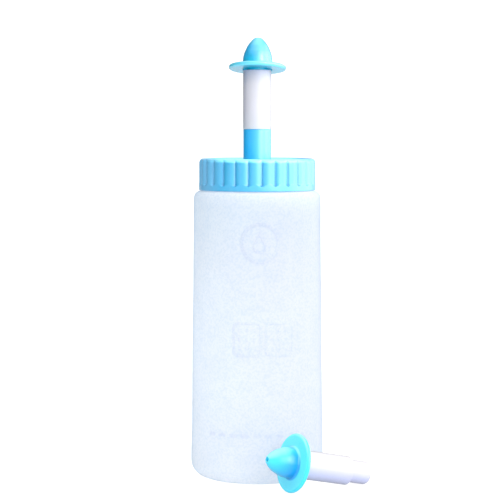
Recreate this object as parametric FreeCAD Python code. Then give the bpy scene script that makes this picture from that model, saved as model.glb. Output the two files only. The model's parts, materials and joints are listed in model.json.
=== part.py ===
import FreeCAD, Part
import math
import os

# Squeeze irrigation bottle with a push-in nozzle, and one loose spare nozzle.
# Millimetres. +Z is up and is the bottle's axis; the origin is the centre of its base, on the
# plane it stands on. -Y is the front and +X the right. The spare nozzle lies in front.
# Name endings: _R radius, _T thickness, _Z height. BOTTOM, TOP, STEP and FLOOR are heights.

V = FreeCAD.Vector

FIT = 0.04                    # gap between faces that rest on each other

# ---------------------------------------------------------------- bottle
BOTTLE_HEEL_R = 36.1          # greatest radius, just above the heel
BOTTLE_SHOULDER_R = 34.45     # radius under the shoulder
BOTTLE_WALL = 1.2
SHOULDER_WALL = 1.35
STAND_R_IN = 25.0             # inner radius of the flat ring the bottle stands on
BASE_PUSH_UP = 2.8
HEEL_ROUND = 8.0
SHOULDER_ROUND = 3.8
NECK_Z = 156.0                # top of the shoulder, where the neck starts
RIM_Z = 170.2                 # top of the neck
NECK_R = 27.9                 # thread root
NECK_R_IN = 26.1

# ---------------------------------------------------------------- thread, right-hand, one start
PITCH = 4.0
THREAD_TURNS = 1.5
THREAD_ROOTING = 0.4          # depth of each ridge's base inside its wall
NECK_THREAD_R = 29.0          # crest on the neck
NECK_THREAD_Z = 160.4         # centre of the ridge at its lower end
CAP_THREAD_R = 28.2           # crest inside the cap
CAP_THREAD_DROP = 1.65        # the cap's ridge sits this far under the neck's ridge

# ---------------------------------------------------------------- screw cap
CAP_BOTTOM = 156.4
CAP_BAND_TOP = 159.1          # plain band below the ribs
CAP_RIB_TOP = 171.2
CAP_TOP = 173.6               # top of the raised rim
CAP_PANEL_TOP = 172.9
CAP_PANEL_BOTTOM = 171.4
CAP_R = 31.75
CAP_RIB_R = CAP_R - 0.05
CAP_RIB_ROOT_R = 30.85
CAP_R_IN = 29.4
CAP_BAND_R_IN = CAP_R_IN - 2  # inside the cavity that is cut later
CAP_RIBS = 27
CAP_RIB_PHASE = -90.0 + 4.7   # angle of one groove, in degrees
CAP_HOLE_R = 7.62

# air-return valve, behind the socket
AIR_Y = 18.0
AIR_STEM_HOLE_R = 1.6
AIR_HOLE_R = 0.6

# four small holes on a circle, round the air valve and in the socket's stop plate
RING_HOLES = 4
HOLE_RING_R = 2.95

# ---------------------------------------------------------------- nozzle socket
SOCKET_R = 7.55
SOCKET_BORE_R = 6.12
SOCKET_TOP = 189.4
SOCKET_FLOOR = 176.5          # the nozzle's spigot stops just above this step
SOCKET_FLANGE_R = 12.5
SOCKET_FLANGE_T = 1.35
CHAMBER_R = 4.6
CHAMBER_STEP = 167.4          # bottom of the ball chamber, on top of the valve seat
STOP_BOTTOM, STOP_TOP = 173.9, 175.4   # plate above the ball chamber
STOP_HOLE_R = 1.25
HUB_R = 8.2
HUB_BOTTOM = 161.9
SEAT_BORE_R = 5.6

# ---------------------------------------------------------------- valve seat, ball, dip tube
SEAT_HOLE_R = 1.7
SEAT_CONE_R = 4.1             # upper radius of the 45 degree cone
SEAT_PLUG_R = SEAT_BORE_R - 0.03
SEAT_PLUG_TOP = CHAMBER_STEP - 0.1
SEAT_FLANGE_TOP = HUB_BOTTOM - FIT
SEAT_FLANGE_BOTTOM = SEAT_FLANGE_TOP - 1.3
SEAT_SPIGOT_LENGTH = 10.2
BALL_R = 3.2
BALL_GAP = 0.025              # between the ball and the cone
DIP_R, DIP_R_IN = 3.6, 2.6
DIP_BOTTOM = 6.2
DIP_CUT_RISE = 2 * DIP_R      # the lower end is cut at 45 degrees

# ---------------------------------------------------------------- nozzle
TUBE_R = 7.65
TUBE_BORE_R = 6.2
TUBE_BOTTOM = SOCKET_TOP + FIT   # shoulder that rests on the socket
TUBE_TOP = 221.4
SPIGOT_R = 6.05
SPIGOT_BORE_R = 4.7
SPIGOT_END = 176.7
SPIGOT_ROUND = 1.5
SPIGOT_LIP_R = 3.9            # narrowed bore at the spigot's end

BRIM_R = 15.6
BRIM_T = 2.35
BRIM_BACK = TUBE_TOP + FIT    # height of the brim's back face, before the tip leans
PLUG_LENGTH = 5.9             # the tip's plug inside the tube
PLUG_R = 5.6                  # loose in the tube's bore
PLUG_BORE_R = 4.4
RECESS_R, RECESS_DEPTH = 8.05, 1.25   # in the brim's back face, for the tube's end
DOME_HEIGHT = 15.1            # from the brim's front face
DOME_BORE_R = 5.0
OUTLET_R = 1.05
# (radius, depth below the end of the dome)
DOME_OUTSIDE = [
    (8.0, 12.5), (7.93, 11.4), (7.8, 10.3), (7.55, 9.2), (7.22, 8.1), (6.76, 7.0),
    (6.29, 5.9), (5.78, 4.8), (5.15, 3.73), (4.36, 2.64), (3.46, 1.55), (2.5, 0.62)]
DOME_INSIDE = [(1.9, 3.6), (3.3, 5.7), (4.5, 8.4), (DOME_BORE_R, 11.5)]

# the fitted tip: middle of its back face, and its lean to the back and right in degrees
TIP_PLACE = V(0.1, 0.4, 221.5)
TIP_LEAN_BACK, TIP_LEAN_RIGHT = 8.2, 1.2

# spare nozzle: where the centre of its brim's back face is, and how it lies
SPARE_X, SPARE_Y = 20.15, -47.95
SPARE_YAW = 29.2              # degrees from -X towards -Y
SPARE_LIFT = 0.02             # gap under its two contact points


# ---------------------------------------------------------------- helpers
def outline_edges(outline):
    """Edges in the XZ plane. The outline is a list of (radius, z) corners, among which
    ("arc", middle, end) is an arc and ("spline", points) a curve through all its points.
    A line closes it if needed."""
    start = here = V(outline[0][0], 0, outline[0][1])
    edges = []
    for entry in outline[1:]:
        if entry[0] == "arc":
            middle, end = [V(radius, 0, z) for radius, z in entry[1:]]
            edges.append(Part.Arc(here, middle, end).toShape())
        elif entry[0] == "spline":
            points = [here] + [V(radius, 0, z) for radius, z in entry[1]]
            curve = Part.BSplineCurve()
            curve.interpolate(points)
            edges.append(curve.toShape())
            end = points[-1]
        else:
            end = V(entry[0], 0, entry[1])
            edges.append(Part.makeLine(here, end))
        here = end
    if (start - here).Length > 1e-6:
        edges.append(Part.makeLine(here, start))
    return edges


def outward(solid):
    """Reverses a solid that came out inside out."""
    if solid.Volume < 0:
        solid.reverse()
    return solid


def turned(outline):
    """A solid of revolution about Z from a closed outline."""
    face = Part.Face(Part.Wire(outline_edges(outline)))
    return outward(face.revolve(V(0, 0, 0), V(0, 0, 1), 360))


def polar(radius, degrees):
    angle = math.radians(degrees)
    return radius * math.cos(angle), radius * math.sin(angle)


def arc_about(centre_r, centre_z, radius, start_angle, end_angle):
    """An arc entry for an outline; the point before it has to be at start_angle."""
    points = []
    for angle in ((start_angle + end_angle) / 2, end_angle):
        across, up = polar(radius, angle)
        points.append((centre_r + across, centre_z + up))
    return ("arc", *points)


def rod(radius, bottom, top, x=0.0, y=0.0):
    return Part.makeCylinder(radius, top - bottom, V(x, y, bottom))


def rod_ring(radius, bottom, top, first_angle, centre_y=0.0):
    """Rods for cutting a circle of small holes."""
    rods = []
    for i in range(RING_HOLES):
        x, y = polar(HOLE_RING_R, first_angle + i * 360 / RING_HOLES)
        rods.append(rod(radius, bottom, top, x, centre_y + y))
    return rods


def thread(base_r, crest_r, start_z, half_base, half_crest):
    """A trapezoid ridge along a right-hand helix. base_r lies inside the wall it is fused to."""
    helix = Part.makeHelix(PITCH, PITCH * THREAD_TURNS, base_r)
    helix.translate(V(0, 0, start_z))
    profile = Part.makePolygon([
        V(base_r, 0, start_z - half_base), V(crest_r, 0, start_z - half_crest),
        V(crest_r, 0, start_z + half_crest), V(base_r, 0, start_z + half_base),
        V(base_r, 0, start_z - half_base)])
    ridge = Part.Wire(helix.Edges).makePipeShell([profile], True, True)
    # the sweep may come back as a shell
    if ridge.ShapeType != "Solid":
        ridge = Part.Solid(ridge)
    return outward(ridge)


def one_solid(shape):
    """The shape's single solid, with split faces merged."""
    solids = shape.removeSplitter().Solids
    assert len(solids) == 1, "expected one solid, got %d" % len(solids)
    assert solids[0].isValid()
    return solids[0]


# ---------------------------------------------------------------- bottle
def make_bottle():
    heel_r, heel_z = BOTTLE_HEEL_R - HEEL_ROUND, HEEL_ROUND
    shoulder_r, shoulder_z = BOTTLE_SHOULDER_R - SHOULDER_ROUND, NECK_Z - SHOULDER_ROUND
    under_shoulder = NECK_Z - SHOULDER_WALL
    body = turned([
        # outside: base, heel, wall, shoulder
        (0, BASE_PUSH_UP), (5.0, BASE_PUSH_UP),
        ("arc", (15.5, BASE_PUSH_UP - 0.5), (STAND_R_IN - 1.3, 0.75)),
        (STAND_R_IN, 0.0), (heel_r, 0.0),
        arc_about(heel_r, heel_z, HEEL_ROUND, -90, 0),
        (BOTTLE_SHOULDER_R, shoulder_z),
        arc_about(shoulder_r, shoulder_z, SHOULDER_ROUND, 0, 90),
        # neck and rim
        (NECK_R + 1.0, NECK_Z),
        ("arc", (NECK_R + 0.29, NECK_Z + 0.29), (NECK_R, NECK_Z + 1.0)),
        (NECK_R, RIM_Z - 0.6), (NECK_R - 0.6, RIM_Z),
        (NECK_R_IN + 0.2, RIM_Z), (NECK_R_IN, RIM_Z - 0.2),
        # inside, back down
        (NECK_R_IN, NECK_Z + 0.4),
        ("arc", (NECK_R_IN + 0.5, NECK_Z - 0.8), (NECK_R_IN + 1.8, under_shoulder)),
        (shoulder_r, under_shoulder),
        arc_about(shoulder_r, shoulder_z, SHOULDER_ROUND - SHOULDER_WALL, 90, 0),
        (BOTTLE_SHOULDER_R - SHOULDER_WALL, shoulder_z - 1.0),
        (BOTTLE_HEEL_R - BOTTLE_WALL, heel_z + 0.4),
        (BOTTLE_HEEL_R - BOTTLE_WALL, heel_z),
        arc_about(heel_r, heel_z, HEEL_ROUND - BOTTLE_WALL, 0, -90),
        (STAND_R_IN + 0.4, BOTTLE_WALL), (STAND_R_IN - 1.0, 1.9),
        ("arc", (15.5, BASE_PUSH_UP + 0.68), (5.0, BASE_PUSH_UP + BOTTLE_WALL)),
        (0, BASE_PUSH_UP + BOTTLE_WALL)])
    ridge = thread(NECK_R - THREAD_ROOTING, NECK_THREAD_R, NECK_THREAD_Z,
                   half_base=1.3, half_crest=0.55)
    return one_solid(body.fuse(ridge))


# ---------------------------------------------------------------- cap
def make_ribs(bottom, top):
    """A prism with rounded ribs round it, meeting in narrow grooves."""
    def corner(radius, steps):
        return V(*polar(radius, CAP_RIB_PHASE + steps * 360.0 / CAP_RIBS), bottom)

    edges = []
    for i in range(CAP_RIBS):
        rib = Part.Arc(corner(CAP_RIB_ROOT_R, i), corner(CAP_RIB_R, i + 0.5),
                       corner(CAP_RIB_ROOT_R, i + 1))
        edges.append(rib.toShape())
    return Part.Face(Part.Wire(edges)).extrude(V(0, 0, top - bottom))


def make_cap():
    band = turned([
        (CAP_BAND_R_IN, CAP_BOTTOM), (CAP_R - 0.35, CAP_BOTTOM),
        ("arc", (CAP_R - 0.1, CAP_BOTTOM + 0.1), (CAP_R, CAP_BOTTOM + 0.35)),
        (CAP_R, CAP_BAND_TOP - 0.5), (CAP_R - 0.35, CAP_BAND_TOP),
        (CAP_BAND_R_IN, CAP_BAND_TOP)])
    ribs = make_ribs(CAP_BAND_TOP - 0.4, CAP_RIB_TOP + 0.2)
    top = turned([
        (0, CAP_RIB_TOP), (CAP_R - 0.15, CAP_RIB_TOP),
        ("arc", (CAP_R - 0.82, CAP_RIB_TOP + 1.65), (CAP_R - 2.5, CAP_TOP)),
        (CAP_R - 3.6, CAP_TOP), (CAP_R - 4.2, CAP_PANEL_TOP), (0, CAP_PANEL_TOP)])
    cavity = turned([
        (0, CAP_BOTTOM - 1), (CAP_R_IN + 0.6, CAP_BOTTOM - 1), (CAP_R_IN + 0.6, CAP_BOTTOM),
        (CAP_R_IN, CAP_BOTTOM + 0.8), (CAP_R_IN, CAP_PANEL_BOTTOM), (0, CAP_PANEL_BOTTOM)])
    body = band.fuse([ribs, top]).cut(cavity)
    # socket hole, then the air valve's stem hole and the small holes round it
    span = (CAP_PANEL_BOTTOM - 1, CAP_TOP + 1)
    holes = [rod(CAP_HOLE_R, *span), rod(AIR_STEM_HOLE_R, *span, y=AIR_Y)]
    body = body.cut(holes + rod_ring(AIR_HOLE_R, *span, first_angle=45, centre_y=AIR_Y))
    ridge = thread(CAP_R_IN + THREAD_ROOTING, CAP_THREAD_R, NECK_THREAD_Z - CAP_THREAD_DROP,
                   half_base=1.15, half_crest=0.45)
    return one_solid(body.fuse(ridge))


def make_gasket():
    """A flat ring with bulging edges, between the bottle's rim and the cap."""
    bottom, top = RIM_Z + FIT, CAP_PANEL_BOTTOM - FIT
    middle = (bottom + top) / 2
    return turned([(26.4, bottom), (28.9, bottom), ("arc", (29.05, middle), (28.9, top)),
                   (26.4, top), ("arc", (26.25, middle), (26.4, bottom))])


# ---------------------------------------------------------------- socket and valves
def make_socket():
    """A stub up through the cap, with a flange and a hub for the ball valve under it."""
    flange_top = CAP_PANEL_BOTTOM - FIT
    flange_bottom = flange_top - SOCKET_FLANGE_T
    outer = turned([
        (0, HUB_BOTTOM), (HUB_R - 0.3, HUB_BOTTOM), (HUB_R, HUB_BOTTOM + 0.3),
        (HUB_R, flange_bottom), (SOCKET_FLANGE_R - 0.3, flange_bottom),
        (SOCKET_FLANGE_R, flange_bottom + 0.3), (SOCKET_FLANGE_R, flange_top),
        (SOCKET_R, flange_top), (SOCKET_R, SOCKET_TOP - 0.25),
        ("arc", (SOCKET_R - 0.07, SOCKET_TOP - 0.07), (SOCKET_R - 0.25, SOCKET_TOP)),
        (0, SOCKET_TOP)])
    lower = turned([
        (0, HUB_BOTTOM - 1), (SEAT_BORE_R, HUB_BOTTOM - 1), (SEAT_BORE_R, CHAMBER_STEP),
        (CHAMBER_R, CHAMBER_STEP), (CHAMBER_R, STOP_BOTTOM), (0, STOP_BOTTOM)])
    upper = turned([
        (0, STOP_TOP), (CHAMBER_R, STOP_TOP), (CHAMBER_R, SOCKET_FLOOR),
        (SOCKET_BORE_R, SOCKET_FLOOR), (SOCKET_BORE_R, SOCKET_TOP - 0.5),
        (SOCKET_BORE_R + 0.5, SOCKET_TOP), (SOCKET_BORE_R + 0.5, SOCKET_TOP + 1),
        (0, SOCKET_TOP + 1)])
    holes = rod_ring(STOP_HOLE_R, STOP_BOTTOM - 0.5, STOP_TOP + 0.5, first_angle=0)
    return one_solid(outer.cut([lower, upper] + holes))


def make_valve_seat():
    """A plug in the hub, with a flange under the hub and a spigot inside the dip tube."""
    end = SEAT_FLANGE_BOTTOM - SEAT_SPIGOT_LENGTH
    return one_solid(turned([
        (SEAT_HOLE_R, end), (2.2, end), (2.55, end + 1.2), (2.55, SEAT_FLANGE_BOTTOM),
        (7.4, SEAT_FLANGE_BOTTOM), (7.7, SEAT_FLANGE_BOTTOM + 0.3), (7.7, SEAT_FLANGE_TOP),
        (SEAT_PLUG_R, SEAT_FLANGE_TOP), (SEAT_PLUG_R, SEAT_PLUG_TOP - 0.4),
        (SEAT_PLUG_R - 0.4, SEAT_PLUG_TOP), (SEAT_CONE_R, SEAT_PLUG_TOP),
        (SEAT_HOLE_R, SEAT_PLUG_TOP - (SEAT_CONE_R - SEAT_HOLE_R))]))


def make_ball():
    """The ball, resting on the seat's 45 degree cone."""
    cone_apex = SEAT_PLUG_TOP - SEAT_CONE_R
    return Part.makeSphere(BALL_R, V(0, 0, cone_apex + (BALL_R + BALL_GAP) * math.sqrt(2)))


def make_dip_tube():
    top = SEAT_FLANGE_BOTTOM - FIT
    tube = rod(DIP_R, DIP_BOTTOM, top).cut(rod(DIP_R_IN, DIP_BOTTOM - 1, top + 1))
    # the wedge cut away is wider than the tube, and leaves the lowest point on the left
    wedge_x, wedge_y = 6, 10
    overrun = wedge_x - DIP_R
    cut_top = DIP_BOTTOM + DIP_CUT_RISE
    wedge = Part.Face(Part.makePolygon([
        V(-wedge_x, 0, 0), V(wedge_x, 0, 0), V(wedge_x, 0, cut_top + overrun),
        V(DIP_R, 0, cut_top), V(-DIP_R, 0, DIP_BOTTOM),
        V(-wedge_x, 0, DIP_BOTTOM - overrun), V(-wedge_x, 0, 0)]))
    wedge.translate(V(0, -wedge_y, 0))
    return one_solid(tube.cut(wedge.extrude(V(0, 2 * wedge_y, 0))))


def make_air_valve():
    """A disc under the cap's panel, a stem through it and a rounded head on top."""
    below, above = CAP_PANEL_BOTTOM, CAP_PANEL_TOP
    valve = turned([
        (0, below - 1.25), (1.0, below - 1.25),
        ("arc", (3.0, below - 1.05), (4.6, below - 0.5)),
        (4.6, below - 0.1), (1.5, below - 0.07), (1.5, above + 0.05), (1.95, above + 0.1),
        ("arc", (1.72, above + 1.1), (0.9, above + 1.65)), (0, above + 1.65)])
    valve.translate(V(0, AIR_Y, 0))
    return valve


# ---------------------------------------------------------------- nozzle
def make_nozzle_tube():
    inset = 0.2929 * SPIGOT_ROUND   # to the middle of the rounding, 1 - cos 45 degrees
    return one_solid(turned([
        # outside: spigot, then tube
        (SPIGOT_LIP_R, SPIGOT_END), (SPIGOT_R - SPIGOT_ROUND, SPIGOT_END),
        ("arc", (SPIGOT_R - inset, SPIGOT_END + inset), (SPIGOT_R, SPIGOT_END + SPIGOT_ROUND)),
        (SPIGOT_R, TUBE_BOTTOM), (TUBE_R - 0.25, TUBE_BOTTOM),
        ("arc", (TUBE_R - 0.07, TUBE_BOTTOM + 0.07), (TUBE_R, TUBE_BOTTOM + 0.25)),
        (TUBE_R, TUBE_TOP - 0.2), (TUBE_R - 0.2, TUBE_TOP),
        # bore, back down
        (TUBE_BORE_R + 0.3, TUBE_TOP), (TUBE_BORE_R, TUBE_TOP - 0.3),
        (TUBE_BORE_R, TUBE_BOTTOM + 3.5), (SPIGOT_BORE_R, TUBE_BOTTOM + 1.6),
        (SPIGOT_BORE_R, SPIGOT_END + 2.2), (SPIGOT_LIP_R, SPIGOT_END + 1.4)]))


def make_nozzle_tip():
    """Plug, brim and hollow dome, upright on the nozzle's axis."""
    front = BRIM_BACK + BRIM_T
    half = BRIM_T / 2
    recess = BRIM_BACK + RECESS_DEPTH
    plug_end = TUBE_TOP - PLUG_LENGTH
    end = front + DOME_HEIGHT
    return one_solid(turned([
        # plug, recess and brim
        (PLUG_BORE_R, plug_end), (PLUG_R - 0.4, plug_end), (PLUG_R, plug_end + 0.7),
        (PLUG_R, recess), (RECESS_R, recess), (RECESS_R, BRIM_BACK),
        (BRIM_R - half * 0.9, BRIM_BACK),
        ("arc", (BRIM_R, BRIM_BACK + half), (BRIM_R - half * 0.9, front)),
        # dome
        (9.4, front), ("arc", (8.44, front + 0.38), (8.05, front + 1.35)),
        ("spline", [(radius, end - depth) for radius, depth in DOME_OUTSIDE]),
        ("arc", (2.08, end - 0.2), (1.5, end)),
        # outlet and inside
        (OUTLET_R + 0.2, end), (OUTLET_R, end - 0.2), (OUTLET_R, end - 2.6),
        ("spline", [(radius, end - depth) for radius, depth in DOME_INSIDE]),
        (DOME_BORE_R, plug_end + 9.6), (PLUG_BORE_R, plug_end + 8.2)]))


def seated(tip):
    """The tip as it sits in the upright nozzle: its loose plug lets it lean."""
    tip = tip.copy()
    tip.translate(V(0, 0, -BRIM_BACK))
    tip.rotate(V(0, 0, 0), V(1, 0, 0), -TIP_LEAN_BACK)
    tip.rotate(V(0, 0, 0), V(0, 1, 0), TIP_LEAN_RIGHT)
    tip.translate(TIP_PLACE)
    return tip


def lying(shape):
    """Lays a nozzle part down so that brim and spigot end both touch the standing plane."""
    half = BRIM_T / 2
    length = BRIM_BACK + half - (SPIGOT_END + SPIGOT_ROUND)   # between the two roundings
    # each contact's rounding sets its axis height, which depends on the tilt: iterate
    tilt = 0.2
    for _ in range(50):
        brim_height = (BRIM_R - half) * math.cos(tilt) + half
        spigot_height = (SPIGOT_R - SPIGOT_ROUND) * math.cos(tilt) + SPIGOT_ROUND
        tilt = math.asin((brim_height - spigot_height) / length)
    back_height = brim_height - half * math.sin(tilt) + SPARE_LIFT
    yaw = math.radians(SPARE_YAW)
    axis = V(-math.cos(tilt) * math.cos(yaw), -math.cos(tilt) * math.sin(yaw), math.sin(tilt))
    turn = FreeCAD.Rotation(V(0, 0, 1), axis)
    to_origin = FreeCAD.Placement(V(0, 0, -BRIM_BACK), FreeCAD.Rotation())
    place = FreeCAD.Placement(V(SPARE_X, SPARE_Y, back_height), turn).multiply(to_origin)
    shape = shape.copy()
    shape.transformShape(place.toMatrix())
    return shape


# ---------------------------------------------------------------- write
def main():
    os.makedirs("parts", exist_ok=True)
    tube, tip = make_nozzle_tube(), make_nozzle_tip()
    nodes = {
        "bottle": make_bottle(),
        "screw_cap": make_cap(),
        "cap_gasket": make_gasket(),
        "nozzle_socket": make_socket(),
        "valve_seat": make_valve_seat(),
        "valve_ball": make_ball(),
        "dip_tube": make_dip_tube(),
        "air_valve": make_air_valve(),
        "nozzle_tube": tube,
        "nozzle_tip": seated(tip),
        "spare_nozzle_tube": lying(tube),
        "spare_nozzle_tip": lying(tip),
    }
    for name, shape in nodes.items():
        shape.exportStep("parts/%s.step" % name)


main()
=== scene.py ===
"""A frosted plastic bottle with a ribbed blue screw cap and a dropper nozzle.

The bottle stands on z = 0, its axis on Z and its front towards -Y. The nozzle is a white tube
in the cap's socket, with a blue tip leaning in it. A spare nozzle lies at its own mount.
Sizes are in millimetres; MM turns them into metres.
"""

import json
import math
from functools import cached_property

import bmesh
import bpy
import numpy as np
from mathutils import Matrix, Vector


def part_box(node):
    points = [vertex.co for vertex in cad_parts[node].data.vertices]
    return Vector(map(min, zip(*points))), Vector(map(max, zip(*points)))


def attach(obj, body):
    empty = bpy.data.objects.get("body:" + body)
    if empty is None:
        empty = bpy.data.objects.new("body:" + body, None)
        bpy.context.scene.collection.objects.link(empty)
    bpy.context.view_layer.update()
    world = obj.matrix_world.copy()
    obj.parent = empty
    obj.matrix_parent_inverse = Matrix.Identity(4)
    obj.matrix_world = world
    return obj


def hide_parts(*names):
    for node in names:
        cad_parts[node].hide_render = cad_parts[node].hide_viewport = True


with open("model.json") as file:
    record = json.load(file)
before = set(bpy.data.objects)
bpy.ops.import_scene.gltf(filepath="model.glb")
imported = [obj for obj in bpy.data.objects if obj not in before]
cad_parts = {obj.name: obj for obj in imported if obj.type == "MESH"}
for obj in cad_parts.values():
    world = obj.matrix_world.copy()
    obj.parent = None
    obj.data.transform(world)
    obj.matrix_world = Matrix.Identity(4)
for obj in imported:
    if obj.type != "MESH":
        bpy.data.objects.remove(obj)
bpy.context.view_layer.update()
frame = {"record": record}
scene = bpy.context.scene
MM = 0.001
TAU = 2 * math.pi


# ------------------------------------------------------------------ sizes
def top(node):
    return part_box(node)[1].z / MM


def low(node):
    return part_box(node)[0].z / MM


def half_width(node):
    lo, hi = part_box(node)
    return (hi.x - lo.x) / 2 / MM


GAP = 0.04  # clearance between pieces that touch

RIM_TOP = top("bottle")
BOTTLE_RADIUS = half_width("bottle")
NECK_BASE = RIM_TOP - 14.2
NECK_RADIUS = 27.9

# marks moulded on the bottle's wall
MARK_RADIUS = 35.3  # turns angles into lengths round the wall
MARK_HEIGHT = 0.42
MARK_LOW, MARK_TOP = 12, 146

THREAD_PITCH = 4.0
THREAD_TURNS = 1.5
THREAD_START = NECK_BASE + 4.4

CAP_LOW, CAP_TOP = low("screw_cap"), top("screw_cap")
CAP_RADIUS = half_width("screw_cap")
PANEL_LOW, PANEL_TOP = CAP_TOP - 2.2, CAP_TOP - 0.7  # the cap's flat top wall
AIR_VALVE_Y = 18

SOCKET_LOW, SOCKET_TOP = low("nozzle_socket"), top("nozzle_socket")
STOP_LOW, STOP_TOP = SOCKET_TOP - 15.5, SOCKET_TOP - 14.0

TUBE_LOW, TUBE_TOP = low("nozzle_tube"), top("nozzle_tube")
TUBE_RADIUS = half_width("nozzle_tube")
TUBE_SHOULDER = SOCKET_TOP + GAP
TUBE_END_ROUND = 1.5

TIP_BASE = TUBE_TOP + GAP
BRIM_RADIUS, BRIM_THICK = 15.6, 2.35
LEAN_BACK, LEAN_RIGHT = math.radians(8.2), math.radians(1.2)
TIP_SEAT = (0.1 * MM, 0.4 * MM, (TUBE_TOP + 0.1) * MM)

SPARE_MOUNT = {m["name"]: m for m in frame["record"]["mounts"]}["spare_spigot"]
SPARE_PLACE = Vector(SPARE_MOUNT["pos_m"])
SPARE_AXIS = -Vector(SPARE_MOUNT["axis"]).normalized()
# height on the nozzle that sits at the spare's mount
SPARE_MIDDLE = (TUBE_LOW + TUBE_END_ROUND + TUBE_SHOULDER) / 2


# ------------------------------------------------------------------ profiles
# A profile is a list of (radius, height) points.
def arc(centre_x, centre_z, radius, start, end, count):
    """Points on an arc, in degrees, both ends included."""
    angles = np.radians(np.linspace(start, end, count))
    return [(centre_x + radius * math.cos(a), centre_z + radius * math.sin(a)) for a in angles]


def line(start, end, steps):
    """Evenly spaced points from start to end, without start."""
    return [
        (start[0] + (end[0] - start[0]) * share, start[1] + (end[1] - start[1]) * share)
        for share in np.linspace(0, 1, steps + 1)[1:]]


def legs(stations):
    """A profile through (radius, height[, steps]); steps splits the leg that ends there."""
    points = [stations[0][:2]]
    for x, z, *steps in stations[1:]:
        points += line(points[-1], (x, z), steps[0] if steps else 1)
    return points


def rounded(corners, count, step=3.0):
    """A closed outline of (radius, height, rounding) corners, count points to a rounding.

    Runs longer than step are split."""
    curve = []
    for i, (x, z, rounding) in enumerate(corners):
        corner = Vector((x, z))
        back = Vector(corners[i - 1][:2]) - corner
        ahead = Vector(corners[(i + 1) % len(corners)][:2]) - corner
        back_length, ahead_length = back.length, ahead.length
        if back_length < 1e-6 or ahead_length < 1e-6:
            continue
        back, ahead = back / back_length, ahead / ahead_length
        angle = math.acos(max(-1, min(1, back.dot(ahead))))
        if rounding <= 0 or angle > math.radians(176):
            curve.append((x, z))
            continue
        reach = min(rounding / math.tan(angle / 2), 0.48 * back_length, 0.48 * ahead_length)
        start, end = corner + back * reach, corner + ahead * reach
        for t in np.linspace(0, 1, count):
            point = start * (1 - t) ** 2 + corner * 2 * t * (1 - t) + end * t * t
            curve.append((point.x, point.y))
    dense = []
    for i, start in enumerate(curve):
        end = curve[(i + 1) % len(curve)]
        dense.append(start)
        length = math.hypot(end[0] - start[0], end[1] - start[1])
        if length > 0.6:
            # a support loop just inside each end keeps the shading flat between corners
            inset = min(0.12, length * 0.2) / length
            pieces = int(length // step) + 1
            shares = [inset + (1 - 2 * inset) * j / pieces for j in range(pieces)] + [1 - inset]
            dense += [
                (start[0] + (end[0] - start[0]) * t, start[1] + (end[1] - start[1]) * t)
                for t in shares]
    return dense


def smooth(start, end, value):
    share = np.clip((value - start) / (end - start), 0, 1)
    return share * share * (3 - 2 * share)


def spline(stations, steps):
    """A Catmull-Rom curve through the stations, steps samples to a span, both ends included."""
    knots = [np.array(station, float) for station in stations]
    knots = [2 * knots[0] - knots[1], *knots, 2 * knots[-1] - knots[-2]]
    points = []
    for before, start, end, after in zip(knots, knots[1:], knots[2:], knots[3:]):
        slope = end - before
        bend = 2 * before - 5 * start + 4 * end - after
        twist = -before + 3 * start - 3 * end + after
        for t in np.linspace(0, 1, steps, endpoint=False):
            points.append(tuple(0.5 * (2 * start + slope * t + bend * t * t + twist * t ** 3)))
    return points + [stations[-1]]


# ------------------------------------------------------------------ meshes
def lathe(name, profile, angles=None, count=160, move=None, closed=True):
    """A turned surface. The profile is a closed loop, or runs from axis to axis if not closed.

    move(angle, radius, z) may return changed radius and z grids, one row to a profile point."""
    if angles is None:
        angles = np.linspace(0, TAU, count, endpoint=False)
    profile = np.array(profile, float)
    shape = (len(profile), len(angles))
    radius = np.broadcast_to(profile[:, :1], shape)
    z = np.broadcast_to(profile[:, 1:], shape)
    if move is not None:
        radius, z = move(np.broadcast_to(angles, shape), radius, z)
    verts, index = [], np.zeros(shape, int)
    for i in range(len(profile)):
        if profile[i, 0] < 1e-6:
            index[i] = len(verts)
            verts.append((0.0, 0.0, z[i, 0] * MM))
        else:
            index[i] = np.arange(len(verts), len(verts) + len(angles))
            across, along = radius[i] * np.cos(angles) * MM, radius[i] * np.sin(angles) * MM
            verts += list(zip(across.tolist(), along.tolist(), (z[i] * MM).tolist()))
    faces = []
    for i in [*range(len(profile) - 1)] + ([-1] if closed else []):
        row, following = index[i], index[i + 1]
        corners = (row, following, np.roll(following, -1), np.roll(row, -1))
        # a point on the axis comes twice in its faces, and is kept once
        faces += [tuple(dict.fromkeys(face)) for face in np.stack(corners, 1).tolist()]
    return mesh_object(name, verts, faces)


def mesh_object(name, verts, faces):
    """A smooth-shaded object whose faces point outwards."""
    mesh = bpy.data.meshes.new(name)
    mesh.from_pydata(verts, [], faces)
    mesh.validate()
    bm = bmesh.new()
    bm.from_mesh(mesh)
    bmesh.ops.recalc_face_normals(bm, faces=bm.faces)
    if bm.calc_volume(signed=True) < 0:
        bmesh.ops.reverse_faces(bm, faces=bm.faces)
    for face in bm.faces:
        face.smooth = True
    bm.to_mesh(mesh)
    bm.free()
    return link_object(name, mesh)


def link_object(name, data):
    ob = bpy.data.objects.new(name, data)
    scene.collection.objects.link(ob)
    return ob


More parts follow.
